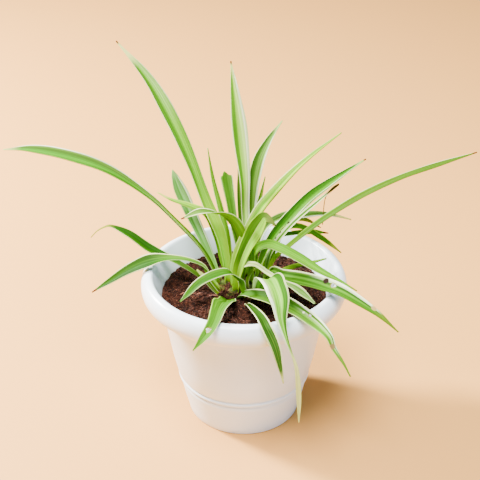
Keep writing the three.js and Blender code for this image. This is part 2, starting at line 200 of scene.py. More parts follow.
# Each leaf as in the solids: its name, root, heading, rolls along it if it has any, fold if its base
# isn't closed as usual, widths, and path of (reach, height) or (reach, height, stray to the side).
# Then its looks: bands of colour across it, between the minus edge at -1 and the plus edge at 1, where
# the outermost colours go on to the edges; other bands from a share of the length on, or on its back;
# a base colour up to a share of the length; a tip colour from a share of it; and where it turns brown.
# Holes are (across, along, half width, half length), marks have a colour as well, and torn gives the
# share of the length that is left from the minus edge to the plus edge.
LEAVES = (
    dict(name="front_short", root=(-13, -3), heading=252, fold=20,
        widths=(12, 14, 15, 16, 13, 10.5, 8, 1),
        path=((31, 18, 9), (38, 22, 9), (58, 28, 12), (70, 26, 13), (78, 23, 12), (86, 19, 9), (92, 12, 4)),
        bands=((-0.94, "#c9dda0"), (-0.88, "#7cb03c"), (-0.5, "#84b83e"), (-0.1, "#689c30"),
            (0.02, "#8fbc5c"), (0.12, "#73a838"), (0.5, "#7cb240"), (0.9, "#83b84a"), (0.95, CREAM)),
        base=(0.12, "#93bc48"), holes=((-0.15, 0.817, 0.4, 0.02),)),
    dict(name="front_dark", root=(4, -19), heading=288, fold=30,
        widths=(3.5, 4.5, 6.5, 7.5, 8.5, 9, 8, 4.5, 1),
        path=((3, 7, -3), (24, 17, -5), (50, 25, -7), (64, 26, -8), (72, 14, -4), (76, -3, -1),
            (78, -17, 1)),
        bands=((-0.84, CREAM), (-0.78, "#537a44"), (-0.4, "#5c8450"), (-0.15, "#4c7a3c"), (0, "#6f9858"),
            (0.12, "#4c7a3c"), (0.5, "#5f8a50"), (0.74, "#567e48"), (0.81, CREAM)),
        later=(0.62, ((-0.82, CREAM), (-0.76, "#6a9464"), (-0.4, "#709c6c"), (-0.15, "#5c8a54"),
            (0, "#9cbe84"), (0.12, "#5c8a54"), (0.5, "#78a474"), (0.72, "#709a68"), (0.79, CREAM))),
        base=(0.12, CREAM), tip=(0.93, "#dfe6b4")),
    dict(name="front_broad", root=(7, -9), heading=292, fold=25,
        widths=(8, 12, 19, 21, 18, 17, 10.5, 4.5, 2, 3.5, 4.5, 3.5, 1),
        path=((5, 14, 3), (11, 25, 4), (20, 34, 4), (34, 39, 2), (60, 39, -4), (73, 31, -8), (83, 20, -8),
            (87, 11, -6), (90, -1, -3), (92, -27, -1), (92, -53, 0)),
        bands=((-0.7, WHITE), (-0.62, "#cfe6b0"), (-0.4, "#a9da74"), (0, "#9cd068"), (0.2, "#bce394"),
            (0.36, "#a3d474"), (0.46, "#6ba332"), (0.86, "#5f982a"), (0.92, CREAM)),
        base=(0.12, BRIGHT), tip=(0.66, "#eaf0c3")),
    # Its bands before 0.58 of its length are darkened partly as painted shadow cast by front_broad, and the
    # pale bands between 0.2 and 0.4 across its later part are partly a painted highlight along its bend
    dict(name="front_right", root=(-6, -7), heading=310, roll=(20, 10), fold=40,
        widths=(5, 9, 12, 13, 14, 12.5, 11, 6.5, 3, 1),
        path=((8, 10), (28, 19), (51, 25), (74, 27), (95, 25), (106, 21), (110, 15), (122, 6), (129, -1)),
        bands=((-0.94, CREAM), (-0.89, "#7fac58"), (-0.4, "#7aa852"), (0, "#6c9a44"), (0.3, "#5c8e3c"),
            (0.8, "#58803a"), (0.93, CREAM)),
        later=(0.58, ((-0.94, CREAM), (-0.88, "#a3cc74"), (-0.4, "#98c86c"), (0, "#a6d480"),
            (0.2, "#cfe8b8"), (0.4, "#d8ecc6"), (0.5, "#8ab464"), (0.7, "#8cb66a"), (0.8, WHITE))),
        base=(0.2, GRASS), tip=(0.86, "#8fb45c"), holes=((0.4, 0.612, 0.19, 0.009),),
        marks=((-0.2, 0.827, 1.2, 0.016, "#b5a58f"), (0.3, 0.571, 0.14, 0.008, "#eef0e0"))),
    dict(name="front_arch", root=(3, -8), heading=198, roll=(45, 35, 10, -15, -25, -30),
        widths=(8, 8, 9, 11, 10, 8, 6, 1),
        path=((5, 14), (6, 20), (10, 25), (15, 30), (23, 31), (39, 26), (56, 11)),
        bands=((-0.92, CREAM), (-0.86, "#76a842"), (-0.3, "#76ab44"), (0, "#5f9630"), (0.4, "#629a30"),
            (0.84, "#73a83c"), (0.93, CREAM)),
        back=((-0.9, CREAM), (-0.82, OLIVE), (0.82, BRIGHT), (0.9, CREAM)),
        base=(0.25, "#9cc440")),
    dict(name="broad_folded", root=(-6, -1), heading=14, roll=(45, 35),
        widths=(9, 9, 10, 11, 13, 15, 9.5, 2),
        path=((1, 24), (7, 43), (15, 59), (19, 66), (22, 70), (26, 68), (32, 61)),
        bands=((-1, "#c5dd80"), (-0.93, "#bce058"), (-0.2, "#a9d648"), (-0.05, "#a3d048"), (0, "#c9dca0"),
            (0.05, "#c9dca0"), (0.1, "#76a242"), (0.88, "#729e3c"), (0.95, "#a9cc62"), (1, "#c5dd80")),
        base=(0.42, "#b8da24"), tip=(0.86, "#a4b880")),
    dict(name="young_front", root=(4, 4), heading=35,
        widths=(3.5, 4, 1.5), path=((-1, 14), (2, 18), (5, 22)),
        bands=((-1, CREAM), (-0.76, LIME), (0.76, LIME), (1, CREAM))),
    dict(name="young_middle", root=(9, 9), heading=120,
        widths=(4, 4.5, 1.5), path=((-1, 12), (-3, 20), (-3, 28)),
        bands=((-1, CREAM), (-0.76, LIME), (0.76, LIME), (1, CREAM))),
    dict(name="thin_right", root=(19, 5), heading=348, roll=(30, 30),
        widths=(3.5, 4, 4.5, 3.5, 1.5), path=((4, 18), (10, 21), (18, 26), (33, 32), (47, 38)),
        bands=((-1, "#7f9f28"), (-0.3, "#98c22f"), (0.4, "#a5cf3c"), (1, "#c9dd80"))),
    dict(name="damaged_right", root=(16, 3), heading=322, roll=(25, 15), fold=35,
        widths=(6, 9, 12.5, 13.5, 13.5, 12, 9, 5, 1),
        path=((7, 24), (16, 24), (35, 28), (54, 31), (72, 32), (90, 29), (108, 24), (125, 16)),
        bands=((-1, "#a9c77c"), (-0.93, "#6b9a3c"), (-0.5, "#78aa48"), (-0.1, "#5f9230"), (0.2, "#86b85c"),
            (0.5, "#568a2c"), (0.8, "#7fa85c"), (0.9, CREAM)),
        later=(0.5, ((-1, OLIVE), (-0.93, "#86a84a"), (-0.86, "#76aa42"), (-0.3, "#6ba332"),
            (0.1, "#8abb5c"), (0.3, "#568a30"), (0.5, "#6b9a48"), (0.6, WHITE))),
        base=(0.15, GRASS), tip=(0.85, "#8aa64c"), holes=((0.35, 0.571, 0.28, 0.014),),
        marks=((0.6, 0.52, 0.4, 0.018, "#4a3626"), (0.6, 0.827, 0.5, 0.018, "#ccb8a0"),
            (0.55, 0.173, 0.15, 0.008, "#3c4a1c"))),
    dict(name="thin_arch", root=(-2, 4), heading=324, roll=(40, 30),
        widths=(7, 7, 6, 4, 4, 4, 6.5, 1.5),
        path=((-1, 21), (1, 26), (13, 32), (25, 29), (38, 26), (51, 25), (64, 20), (70, 17)),
        bands=((-1, CREAM), (-0.3, "#e9efc8"), (0.3, "#cfe0a0"), (0.7, CREAM)),
        later=(0.66, ((-0.8, CREAM), (-0.7, "#a3c68e"), (0.6, "#9cc086"), (0.76, CREAM))),
        base=(0.28, "#a9cc48")),
    dict(name="lime_arch", root=(6, 13), heading=334, roll=(60, 50, 35, 35),
        widths=(7, 9, 9, 8, 8, 8, 6, 3, 1),
        path=((1, 24), (2, 33), (8, 41), (16, 45), (25, 44), (42, 39), (60, 32), (77, 27), (91, 22)),
        bands=((-1, CREAM), (-0.92, "#eaf0b8"), (-0.86, "#93c630"), (-0.3, "#9cd038"), (0, "#a4da38"),
            (0.4, "#a4dc3c"), (0.9, "#98cf38"), (1, "#b9d468")),
        base=(0.36, "#cdf080"), tip=(0.95, "#98b450")),
    dict(name="long_right", root=(18, 9), heading=8, roll=(35, 30),
        widths=(6, 5, 5, 5.5, 6, 5, 4.5, 1),
        path=((6, 28), (19, 41), (43, 61), (74, 81), (105, 95), (137, 105), (166, 113)),
        bands=((-1, "#a9bf4c"), (-0.88, "#789c14"), (-0.2, "#7ea814"), (0.6, "#82b01a"), (0.88, "#8ab826"),
            (1, "#cfe08c")),
        later=(0.42, ((-1, "#8fa34c"), (-0.85, "#76981e"), (-0.1, "#83a824"), (0.6, "#89af28"),
            (0.82, "#93b634"), (0.9, CREAM), (1, WHITE))),
        base=(0.34, "#b0d22c"), brown=0.975),
    dict(name="upper_right", root=(-8, 6.5), heading=22, roll=(35, 25),
        widths=(8, 9, 8.5, 9, 8.5, 6, 3.5, 1),
        path=((2, 31), (11, 53), (22, 72), (31, 82), (48, 98), (64, 110), (91, 126)),
        bands=((-1, "#8fae38"), (-0.88, "#9cbc40"), (-0.6, "#c3e05c"), (-0.35, "#cfe87c"),
            (-0.1, "#9cd04a"), (0.3, "#a9d860"), (0.6, "#bce078"), (0.84, "#dfeeb0"), (0.92, CREAM)),
        base=(0.4, "#c5e822")),
    dict(name="hanging_tip", root=(16, 13), heading=20, roll=(35, 30),
        widths=(4.5, 4.5, 4.5, 4, 4, 3.5, 2, 1.5, 1.5, 1.2),
        path=((6, 32), (22, 53), (51, 75), (64, 84), (59, 82), (54, 77), (52, 71), (51, 49)),
        bands=((-0.76, CREAM), (-0.45, "#7fb03a"), (0.4, "#7fb03a"), (0.55, CREAM)),
        base=(0.3, BRIGHT), tip=(0.64, "#6c6a30")),
    dict(name="arch_left", root=(-2, 12), heading=190, roll=(50, 50, 60, 60, 5, -25),
        widths=(5.5, 6.5, 9.5, 11.5, 11.5, 10, 8, 1),
        path=((-1, 40), (1, 52), (5, 61), (10, 67), (17, 71), (33, 74), (48, 69)),
        bands=((-0.86, CREAM), (-0.78, "#86aa68"), (0, "#93b874"), (0.5, "#86a968"), (0.82, CREAM)),
        back=((-1, "#7fa82a"), (-0.6, "#93c42a"), (0.3, "#9ccb2c"), (0.84, "#a9d23c"), (0.9, CREAM)),
        base=(0.3, LIME), brown=0.965),
    dict(name="broad_right", root=(9, 18), heading=32, roll=(25, 25),
        widths=(6, 7, 10, 11, 10, 8.5, 4.5, 1),
        path=((7, 22), (17, 38), (34, 53), (53, 66), (73, 74), (93, 81), (109, 86)),
        bands=((-1, CREAM), (-0.96, "#6b9a42"), (-0.84, "#7fad50"), (-0.8, "#e9f2d8"), (-0.71, "#e9f2d8"),
            (-0.66, "#7cab50"), (-0.56, "#86b860"), (-0.52, "#cfe0b0"), (-0.44, "#cfe0b0"),
            (-0.38, "#86b854"), (0.1, "#7cb840"), (0.4, "#6cae38"), (0.76, "#4f8a28"), (0.92, DARK),
            (0.96, CREAM)),
        later=(0.46, ((-0.93, CREAM), (-0.88, "#76a348"), (-0.76, "#86b058"), (-0.7, "#eef5e0"),
            (-0.64, "#eef5e0"), (-0.58, "#8abb56"), (0, "#7cb840"), (0.4, "#6cae38"), (0.76, "#4f8a28"),
            (0.92, DARK), (0.96, CREAM))),
        base=(0.24, "#b0dc50"), tip=(0.93, "#bcd8a0"), brown=0.975,
        marks=((-0.46, 0.408, 0.2, 0.009, "#4a4a28"), (-0.52, 0.337, 0.2, 0.009, "#4a4a28"),
            (-0.52, 0.296, 0.2, 0.009, "#4a4a28"))),
    dict(name="tall_left", root=(-14, 14), heading=145, roll=(-25, -35),
        widths=(9, 10, 10, 9, 11, 11.5, 7, 1),
        path=((1, 23), (6, 47), (20, 74), (34, 105), (51, 135), (73, 164), (105, 189)),
        bands=((-0.96, CREAM), (-0.92, "#83bb44"), (-0.7, "#9ccf5c"), (-0.45, "#a9d86c"), (0, "#b0dd74"),
            (0.3, "#a0d45a"), (0.45, "#7fb836"), (0.86, "#78b030"), (0.93, CREAM)),
        later=(0.7, ((-0.92, WHITE), (-0.86, "#a9d08c"), (-0.4, "#c9ebb0"), (0.1, "#bce498"),
            (0.35, "#93c956"), (0.5, "#7cb036"), (0.9, "#76a836"), (0.95, CREAM))),
        base=(0.46, "#ccec26"), tip=(0.9, "#e6eabc"), brown=0.98),
    dict(name="far_left", root=(-20, 11), heading=168, roll=(-30, -30),
        widths=(6, 5.5, 4.5, 4.2, 6.5, 9.5, 10.5, 8, 1),
        path=((6, 20), (16, 38), (40, 64), (56, 79), (88, 99), (120, 108), (153, 111), (176, 108)),
        bands=((-1, "#b5c986"), (-0.88, "#67902c"), (-0.66, "#67902c"), (-0.5, "#a9cf5c"),
            (-0.2, "#93c043"), (0, "#b0cf70"), (0.12, CREAM), (0.2, "#dfe9b4"), (0.3, "#86ad3a"),
            (0.5, "#5a8424"), (0.84, "#5a8424"), (0.92, CREAM)),
        later=(0.42, ((-0.88, WHITE), (-0.8, "#8fb374"), (-0.3, "#86b069"), (-0.15, "#7cb356"),
            (0.2, "#7fc03a"), (0.6, "#70ad28"), (0.84, "#79b53a"), (0.9, "#dbe5ac"), (0.96, "#98a650"),
            (1, "#e8edc0"))),
        base=(0.1, BRIGHT), tip=(0.955, "#ccd8ac")),
    dict(name="broad_left", root=(-18, 3), heading=178, roll=(10, 10, 5, -25, -35, -35),
        widths=(9, 9, 8.5, 8, 10, 14, 11.5, 8.5, 5, 1),
        path=((9, 14), (14, 25), (25, 31), (41, 33), (57, 30), (74, 22), (91, 10), (106, -1)),
        bands=((-0.9, CREAM), (-0.82, "#8cb468"), (-0.1, "#86b662"), (0.3, "#70ac40"), (0.88, "#6fa840"),
            (0.95, CREAM)),
        later=(0.48, ((-0.93, CREAM), (-0.87, "#6f9456"), (-0.55, "#568440"), (-0.2, "#6b9c4a"),
            (0, "#447a1c"), (0.12, "#5c9430"), (0.5, "#447c14"), (0.84, "#42781a"), (0.94, CREAM))),
        base=(0.28, "#b0d848"), brown=0.955),
    dict(name="narrow_upright", root=(-9, 18), heading=122,
        widths=(6.5, 6, 6, 5.5, 3.5, 1), path=((5, 18), (9, 42), (19, 62), (30, 83), (38, 108)),
        bands=((-0.9, CREAM), (-0.8, "#8cb424"), (-0.5, "#8cb424"), (0, "#a0cc2a"), (0.8, "#a9d438"),
            (0.92, CREAM)),
        base=(0.4, "#cbea48")),
    dict(name="tall_centre", root=(2, 23), heading=110,
        widths=(7, 7, 7, 7.5, 11, 13.5, 8.5, 1),
        path=((-2, 40), (3, 65), (4, 91), (14, 122), (25, 151), (36, 179)),
        bands=((-0.64, WHITE), (-0.56, "#d5ecb0"), (-0.2, "#e0f7b8"), (0.1, "#d5f29c"), (0.25, "#b5e074"),
            (0.36, "#93c94a"), (0.84, "#8cc048"), (0.93, CREAM)),
        base=(0.45, "#dcf0b4"), tip=(0.95, "#e6eabc"), brown=0.98),
    dict(name="dark_left", root=(-22, 7), heading=162, roll=(-20, -25),
        widths=(5.5, 5.5, 4.5, 5, 7, 8.5, 8, 7, 3, 1.5, 1.2),
        path=((13, 10), (33, 21), (58, 30), (75, 40), (92, 45), (97, 43), (104, 38), (110, 31)),
        bands=((-1, CREAM), (-0.94, "#a3bf5c"), (-0.88, "#559010"), (0, "#4f880a"), (0.5, "#589214"),
            (0.84, "#6ba02a"), (0.93, CREAM)),
        base=(0.4, "#8fb068"), tip=(0.8, "#a3b04c")),
    dict(name="dark_right", root=(6, 26), heading=55, roll=(20, 20),
        widths=(5, 5, 5, 6, 9, 10, 5.5, 1),
        path=((1, 51), (2, 73), (4, 90), (10, 105), (23, 117), (43, 127)),
        bands=((-0.55, WHITE), (-0.46, "#98b986"), (0.1, "#8cb574"), (0.5, "#76a062"), (0.86, "#769c60"),
            (0.93, CREAM)),
        later=(0.55, ((-0.78, WHITE), (-0.7, "#9cc086"), (-0.1, "#98bf80"), (0.3, "#86b070"),
            (0.5, "#6f9a5a"), (0.88, "#6c9454"), (0.94, "#dfe8c9"), (1, CREAM))), tip=(0.92, "#c6d8aa")),
    dict(name="back_left", root=(-18, 16), heading=128, roll=(-15, -20),
        widths=(5.5, 6, 7.5, 9.5, 11, 11, 3.5),
        path=((11, 15), (19, 25), (31, 38), (50, 58), (62, 72), (67, 80)),
        torn=(0.95, 0.985, 1, 0.985, 0.95),
        bands=((-0.74, WHITE), (-0.66, "#98c494"), (0, "#b5e0b0"), (0.3, "#98cb94"), (0.86, "#90c28c"),
            (0.93, CREAM)),
        base=(0.5, "#a9d890"), tip=(0.93, "#b5d8ad")),
    dict(name="cut_off", root=(-7, 22), heading=122,
        widths=(6, 6, 7, 9, 12), path=((-7, 28), (1, 50), (8, 73), (15.5, 95)),
        bands=((-0.92, CREAM), (-0.84, "#9cc67c"), (-0.4, "#90be70"), (-0.14, "#70a050"), (0.05, "#8aba66"),
            (0.4, "#80b05c"), (0.82, "#98c674"), (0.92, CREAM)),
        base=(0.4, LIME), torn=(0.955, 0.958, 0.965, 0.985, 1, 0.99, 0.965, 0.97, 0.965)),
    dict(name="dark_centre", root=(-2, 28), heading=112, roll=(-30, -30),
        widths=(5, 5, 5.5, 4.5, 1), path=((-4, 43), (1, 59), (5, 79), (7, 98)),
        bands=((-1, WHITE), (-0.8, "#cfe0c0"), (-0.6, "#9cba8c"), (0.1, "#86aa70"), (0.4, "#6f9c4c"),
            (0.85, "#5f8e3e"), (0.92, CREAM))),
    dict(name="pale_back_right", root=(3, 29), heading=28, roll=(30, 25),
        widths=(4.5, 4.5, 5, 7.5, 8, 6, 4, 1.5),
        path=((14, 39), (19, 45), (34, 49), (54, 45), (69, 42), (85, 36), (101, 28)),
        bands=((-0.76, WHITE), (-0.44, "#a1be86"), (0.1, "#84ae76"), (0.76, "#9cc08a"), (0.88, "#c5d9b2"),
            (1, "#dfe9cf")), tip=(0.86, "#dcdcaa")),
    dict(name="small_upright", root=(10, 28), heading=75, roll=(10, 10),
        widths=(3.5, 3.5, 3.5, 4, 1), path=((2, 53), (5, 63), (18, 73), (28, 80)),
        bands=((-1, "#c3d08c"), (-0.8, "#93b44c"), (0.3, "#9cbe58"), (0.6, "#a9c36c"), (0.8, CREAM))),
    dict(name="rim_right_upper", root=(11, 25), heading=30, roll=(15, 40),
        widths=(3.5, 3.5, 4, 4.5, 5, 1), path=((22, 35), (29, 35), (54, 30), (70, 24)),
        bands=((-1, "#c3d68c"), (-0.86, "#78b03a"), (0.6, "#6ba332"), (1, "#b5d078")), brown=0.93),
    dict(name="rim_right_lower", root=(15, 20), heading=30, roll=(40, 60),
        widths=(4, 4, 4.5, 5, 5.5, 4.5, 1),
        path=((20, 44), (26, 46), (34, 44), (41, 40), (62, 22), (79, 5)),
        bands=((-1, "#a9c65c"), (-0.8, "#73ab34"), (0.5, "#67a02e"), (1, "#b5d078")), tip=(0.86, "#a9bf60")),
    dict(name="rim_right_short", root=(7, 30), heading=40, roll=(20, 50),
        widths=(3, 3.5, 4, 4.5, 1), path=((33, 34), (48, 37), (62, 31), (73, 22), (78, 18)),
        bands=((-1, "#b5b880"), (-0.7, "#86944c"), (0.5, "#7c9040"), (1, "#bcc48c")), tip=(0.84, "#a3986c")),
    dict(name="thin_left", root=(-13, 19), heading=150, roll=(-20, -25),
        widths=(4.5, 4.5, 5.5, 7, 6, 3.5, 1),
        path=((6, 20), (11, 42), (20, 60), (36, 63), (55, 64), (67, 67)),
        bands=((-1, "#dfe9b0"), (-0.82, "#b5d65a"), (0, "#a2cc36"), (0.82, "#80aa2a"), (1, "#c9d88a")),
        base=(0.4, "#b4d83c"), tip=(0.9, "#ccd68e")),
    dict(name="short_left", root=(-17, -4), heading=170, roll=(-15, -15),
        widths=(4, 4.5, 5.5, 5.5, 1.5), path=((6, 6), (10, 11), (14, 17), (21, 25)),
        bands=((-1, CREAM), (-0.76, "#7a9a2a"), (-0.2, "#6a8c22"), (0, "#c5d196"), (0.2, "#6f8f24"),
            (0.82, "#7d9a34"), (1, CREAM)), tip=(0.75, "#d8dfa4")),
)


def smoothstep(x, low, high):
    t = np.clip((x - low) / (high - low), 0, 1)
    return t * t * (3 - 2 * t)


# Meshes
def new_object(name, data):
    piece = bpy.data.objects.new(name, data)
    bpy.context.scene.collection.objects.link(piece)
    return piece


def make_object(name, vertices, faces, material, node, smooth=True):
    """A mesh object that rides on the part, and stands for a solid if one is named."""
    mesh = bpy.data.meshes.new(name)
    mesh.from_pydata((np.asarray(vertices) * MM).tolist(), [], faces)
    mesh.validate()
    mesh.materials.append(material)
    if smooth:
        mesh.shade_smooth()
    else:
        mesh.shade_flat()
    piece = new_object(name, mesh)
    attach(piece, "root")
    if node:
        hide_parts(node)
    return piece


def on_circle(radius, height, i, sides):
    """The point i of a circle round Z with that many sides."""
    angle = 2 * math.pi * i / sides
    return radius * math.cos(angle), radius * math.sin(angle), height


def lathe(outline, sides):
    """Points and faces of an outline of (radius, height) turned round Z, with both its ends on Z."""
    points = []
    faces = []
    rings = []
    for radius, height in outline:
        count = sides if radius else 1
        rings.append([len(points) + i for i in range(count)])
        points += [on_circle(radius, height, i, sides) for i in range(count)]
    for lower, upper in zip(rings, rings[1:]):
        for i in range(sides):
            j = (i + 1) % sides
            if len(lower) == 1:
                faces.append((lower[0], upper[j], upper[i]))
            elif len(upper) == 1:
                faces.append((lower[i], lower[j], upper[0]))
            else:
                faces.append((lower[i], lower[j], upper[j], upper[i]))
    return points, faces


# Materials
def new_material(name):
    material = bpy.data.materials.new(name)
    material.use_nodes = True
    tree = material.node_tree
    return material, tree, tree.nodes["Principled BSDF"]


def feed(tree, node, inputs):
    """Give each input a value, or link it to another node's output."""
    for key, value in inputs.items():
        if isinstance(value, bpy.types.NodeSocket):
            tree.links.new(value, node.inputs[key])
        else:
            node.inputs[key].default_value = value


def add(tree, kind, inputs=None, **settings):
    """A shader node with its settings and inputs."""
    node = tree.nodes.new("ShaderNode" + kind)
    for key, value in settings.items():
        setattr(node, key, value)
    feed(tree, node, inputs or {})
    return node


def maths(tree, operation, a, b=0.0, c=0.0):
    return add(tree, "Math", {0: a, 1: b, 2: c}, operation=operation).outputs[0]


def scaled(tree, value, by):
    return maths(tree, "MULTIPLY", value, by)


def ease(tree, value, low, high):
    """0 below low, 1 above high and a smooth step between."""
    node = add(tree, "MapRange", {"Value": value, "From Min": low, "From Max": high},
               interpolation_type="SMOOTHSTEP")
    return node.outputs["Result"]


def fade(tree, value, low, high):
    """1 below low, 0 above high and a smooth step between."""
    return maths(tree, "SUBTRACT", 1.0, ease(tree, value, low, high))


def blend(tree, share, first, second, mode="MIX"):
    """The first colour with a share of the second."""
    node = add(tree, "Mix", {0: share, 6: first, 7: second}, data_type="RGBA", blend_type=mode)
    return node.outputs[2]


def noise_at(tree, vector, scale, detail=2.0, roughness=0.5):
    node = add(tree, "TexNoise",
               {"Vector": vector, "Scale": scale, "Detail": detail, "Roughness": roughness})
    return node.outputs["Fac"]


def bump(tree, height, strength, distance):
    node = add(tree, "Bump", {"Height": height, "Strength": strength, "Distance": distance})
    return node.outputs["Normal"]


def object_place(tree):
    return add(tree, "TexCoord").outputs["Object"]


def streak_place(tree, across, along, kind, seed):
    """A place in noise that is drawn out along a blade, in a slice of the leaf's own."""
    node = add(tree, "CombineXYZ", {"X": scaled(tree, across, kind["across"]),
                                    "Y": scaled(tree, along, kind["along"]), "Z": seed * kind["slice"]})
    return node.outputs["Vector"]


def band_ramp(tree, across, bands):
    """The colour of the band at a place across the blade."""
    node = add(tree, "ValToRGB", {"Fac": maths(tree, "MULTIPLY_ADD", across, 0.5, 0.5)})
    stops = node.color_ramp.elements
    while len(stops) < len(bands):
        stops.new(0.5)
    for stop, (place, code) in zip(stops, bands):
        stop.position = (place + 1) / 2
        stop.color = deep(code)
    return node.outputs["Color"]


def spot(tree, across, along, rough, oval):
    """1 inside an uneven oval and 0 outside it."""
    squares = []
    for value, middle, half in ((across, oval[0], oval[2]), (along, oval[1], oval[3])):
        away = maths(tree, "DIVIDE", maths(tree, "SUBTRACT", value, middle), half)
        squares.append(maths(tree, "MULTIPLY", away, away))
    away = maths(tree, "SQRT", maths(tree, "ADD", *squares))
    ragged = scaled(tree, maths(tree, "SUBTRACT", rough, 0.5), SPOT_RAGGED)
    return fade(tree, maths(tree, "ADD", away, ragged), *SPOT_EDGE)


def blade_colour(tree, leaf, across, along, broad):
    """The bands of a blade, with those later on it and on its back."""
    band_at = maths(tree, "ADD", across, scaled(tree, maths(tree, "SUBTRACT", broad, 0.5), WOBBLE))
    colour = band_ramp(tree, band_at, leaf["bands"])
    if "later" in leaf:
        share, bands = leaf["later"]
        turned = ease(tree, along, share - SHARE_BLEND, share + SHARE_BLEND)
        colour = blend(tree, turned, colour, band_ramp(tree, band_at, bands))
    under = add(tree, "Attribute", attribute_name="under").outputs["Fac"]
    if "back" in leaf:
        return blend(tree, under, colour, band_ramp(tree, band_at, leaf["back"]))
    return blend(tree, scaled(tree, under, PALE_UNDER), colour, deep(UNDERSIDE))


def leaf_material(leaf, seed, length):
    """Bands of green and cream, fine veins, a fresh base, a dried tip and any damage."""
    material, tree, shader = new_material("leaf_" + leaf["name"])
    place = add(tree, "UVMap", uv_map="blade").outputs["UV"]
    split = add(tree, "SeparateXYZ", {"Vector": place})
    # across runs from -1 to 1 over the blade and along from 0 to 1 up it
    across, along = split.outputs["X"], split.outputs["Y"]
    broad_at = streak_place(tree, across, along, BROAD_STREAKS, seed)
    fine_at = streak_place(tree, across, along, FINE_STREAKS, seed)
    broad = noise_at(tree, broad_at, 1.0, 1.0)
    stripes = noise_at(tree, broad_at, 0.75, 1.0)
    fine = noise_at(tree, fine_at, 1.0, 1.0)
    colour = blade_colour(tree, leaf, across, along, broad)
    veins = scaled(tree, ease(tree, fine, *VEIN_EDGE), VEINS)
    colour = blend(tree, veins, colour, deep(VEIN), "MULTIPLY")
    lines = scaled(tree, ease(tree, stripes, *LINE_EDGE), LINES)
    colour = blend(tree, lines, colour, deep(LINE), "MULTIPLY")
    share, code = leaf.get("base", USUAL_BASE)
    fresh = fade(tree, along, FRESH_FROM * share, share)
    colour = blend(tree, scaled(tree, fresh, FRESH), colour, deep(code))
    stained = fade(tree, along, STAIN_FROM * ROOT_MM / length, ROOT_MM / length)
    colour = blend(tree, scaled(tree, stained, ROOT_SHADE), colour, deep(STAIN))
    if "tip" in leaf:
        start, code = leaf["tip"]
        colour = blend(tree, ease(tree, along, start - TIP_BEFORE, start + TIP_AFTER), colour, deep(code))
    if "brown" in leaf:
        start = leaf["brown"]
        colour = blend(tree, ease(tree, along, start, start + BROWN_AFTER), colour, deep(BROWN))
    rough = noise_at(tree, fine_at, 1.7, 2.0)
    for u, s, half_width, half_length in leaf.get("holes", ()):
        oval = (u, s, RIM_WIDER * half_width, RIM_WIDER * half_length)
        rim = scaled(tree, spot(tree, across, along, rough, oval), HOLE_SHADE)
        colour = blend(tree, rim, colour, deep(HOLE_RIM))
    for *oval, code in leaf.get("marks", ()):
        colour = blend(tree, spot(tree, across, along, rough, oval), colour, deep(code))
    ribs = maths(tree, "ADD", scaled(tree, fine, 0.5), scaled(tree, broad, 0.5))
    feed(tree, shader, {"Base Color": colour, "Specular IOR Level": 0.08,
                        "Roughness": maths(tree, "ADD", 0.52, scaled(tree, fine, 0.2)),
                        "Normal": bump(tree, ribs, 0.3, 0.0005)})
    light = blend(tree, GLOWING, colour, deep(GLOW), "MULTIPLY")
    through = add(tree, "BsdfTranslucent", {"Color": light})
    both = add(tree, "MixShader", {0: SEE_THROUGH, 1: shader.outputs[0], 2: through.outputs[0]})
    feed(tree, tree.nodes["Material Output"], {"Surface": both.outputs[0]})
    return material


def pot_material():
    """White plastic with the faintest clouds, specks and unevenness."""
    material, tree, shader = new_material("pot_plastic")
    place = object_place(tree)
    cloud = noise_at(tree, place, 18.0, 3.0)
    clean = blend(tree, ease(tree, cloud, 0.35, 0.65), rgb("#dde8ef"), rgb("#e4eef5"))
    speck = scaled(tree, ease(tree, noise_at(tree, place, 900.0, 1.0), 0.7, 0.78), 0.12)
    feed(tree, shader, {"Base Color": blend(tree, speck, clean, rgb("#b9ab98")),
                        "Roughness": maths(tree, "ADD", 0.24, scaled(tree, cloud, 0.12)),
                        "Normal": bump(tree, noise_at(tree, place, 260.0, 2.0), 0.05, 0.0004)})
    return material


def soil_material():
    """Dark damp mix with lighter crumbs of it."""
    material, tree, shader = new_material("potting_soil")
    place = object_place(tree)
    coarse = noise_at(tree, place, 260.0, 4.0, 0.65)
    fine = noise_at(tree, place, 1300.0, 3.0, 0.6)
    colour = blend(tree, ease(tree, coarse, 0.35, 0.7), rgb("#120604"), rgb("#38190d"))
    colour = blend(tree, ease(tree, fine, 0.54, 0.72), colour, rgb("#7c4a34"))
    feed(tree, shader, {"Base Color": colour, "Roughness": 0.95, "Specular IOR Level": 0.15,
                        "Normal": bump(tree, fine, 0.8, 0.0008)})
    return material


def fibre_material():
    material, tree, shader = new_material("coir_fibre")
    streaks = noise_at(tree, object_place(tree), 700.0, 2.0)
    colour = blend(tree, ease(tree, streaks, 0.4, 0.62), rgb("#3c190e"), rgb("#94563e"))
    feed(tree, shader, {"Base Color": colour, "Roughness": 0.85,
                        "Normal": bump(tree, streaks, 0.5, 0.0004)})
    return material


def root_material():
    """Brown where the shoots stand in the soil, and above it a dull green darkened to near black as painted
    shade among the leaf bases.
    """
    material, tree, shader = new_material("root_skin_and_painted_shade")
    place = object_place(tree)
    grainy = noise_at(tree, place, 500.0, 4.0, 0.6)
    mottled = ease(tree, grainy, 0.35, 0.65)
    brown = blend(tree, mottled, rgb("#2a170c"), rgb("#5c4a22"))
    # The green above the soil is painted near black, as shade in the crown rather than the skin's own colour
    green = blend(tree, mottled, rgb("#1c2208"), rgb("#3c4814"))
    height = add(tree, "SeparateXYZ", {"Vector": place}).outputs["Z"]
    colour = blend(tree, ease(tree, height, *SOIL_LINE), brown, green)
    feed(tree, shader, {"Base Color": colour, "Roughness": 0.85, "Specular IOR Level": 0.1,
                        "Normal": bump(tree, grainy, 0.5, 0.0008)})
    return material


